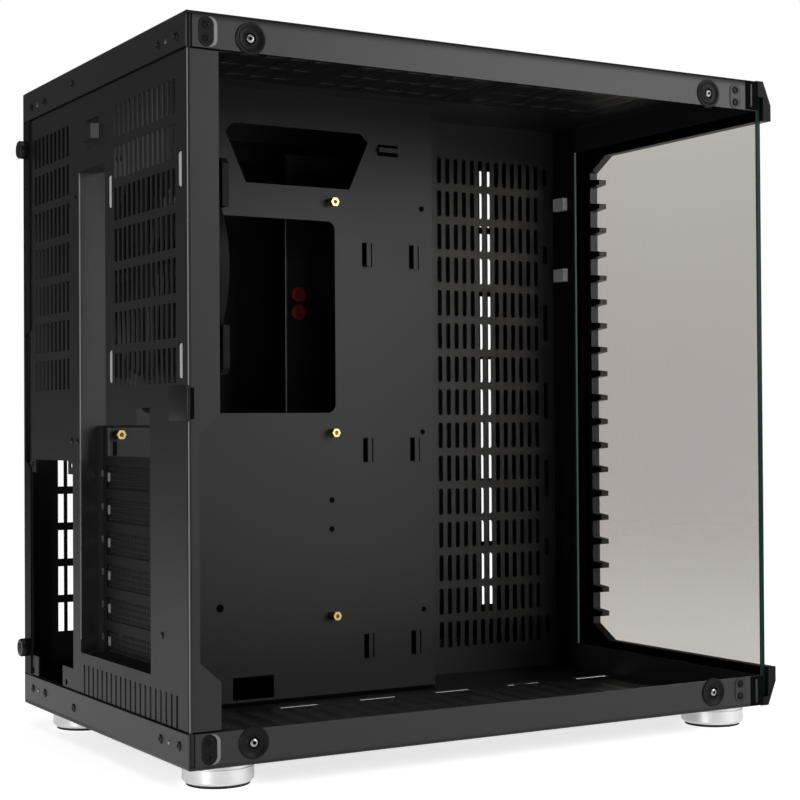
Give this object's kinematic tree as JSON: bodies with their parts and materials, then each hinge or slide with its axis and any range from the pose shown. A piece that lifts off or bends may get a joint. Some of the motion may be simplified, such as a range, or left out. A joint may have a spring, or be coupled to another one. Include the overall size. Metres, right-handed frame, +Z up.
{
  "type": "computer case",
  "caption": "Dual-chamber computer case with its side window off: slotted steel chassis, glass front, rear fan, board tray with standoffs, expansion slots and roof buttons.",
  "frame": {"origin": "on the floor under the middle of the overall box", "axes": "+Z up, -Y to the glass front, -X to the open side"},
  "size_m": [0.275, 0.4272, 0.427],
  "materials": {
    "black_steel": "satin powder coat",
    "black_plastic": "fine texture",
    "black_screws": "satin",
    "white_plastic": "satin",
    "front_glass": "tinted and polished",
    "brass": "turned",
    "foot_metal": "brushed",
    "foot_rubber": "matte",
    "socket_steel": "satin"
  },
  "bodies": {
    "chassis": {"base_pan": "black_steel", "top_pan": "black_steel", "rear_panel": "black_steel", "slot_plate": "black_steel", "motherboard_tray": "black_steel", "side_fan_panel": "black_steel", "front_column": "black_steel", "right_side_panel": "black_steel", "drive_bracket": "black_steel", "slot_cover_1": "black_steel", "slot_cover_2": "black_steel", "slot_cover_3": "black_steel", "slot_cover_4": "black_steel", "slot_cover_5": "black_steel", "slot_cover_6": "black_steel", "bezel": "black_plastic", "io_housing": "black_plastic", "rear_fan_frame": "black_plastic", "thumbscrews": "black_screws", "bezel_clips": "white_plastic", "front_glass": "front_glass", "standoffs": "brass", "feet": "foot_metal", "foot_pads": "foot_rubber", "usb_ports": "socket_steel"},
    "fan_rotor": {"rear_fan_rotor": "black_plastic"},
    "power_switch": {"power_button": "black_plastic"},
    "reset_switch": {"reset_button": "black_plastic"}
  },
  "joints": [
    {"name": "rear_fan_spin", "type": "hinge", "parent": "chassis", "child": "fan_rotor", "pos_m": [-0.0746, 0.19395, 0.2889], "axis": [0, 1, 0], "continuous": true},
    {"name": "power_press", "type": "slide", "parent": "chassis", "child": "power_switch", "axis": [0, 0, -1], "range_m": [0, 0.0015], "stiffness_N_per_m": 300},
    {"name": "reset_press", "type": "slide", "parent": "chassis", "child": "reset_switch", "axis": [0, 0, -1], "range_m": [0, 0.0015], "stiffness_N_per_m": 300}
  ]
}
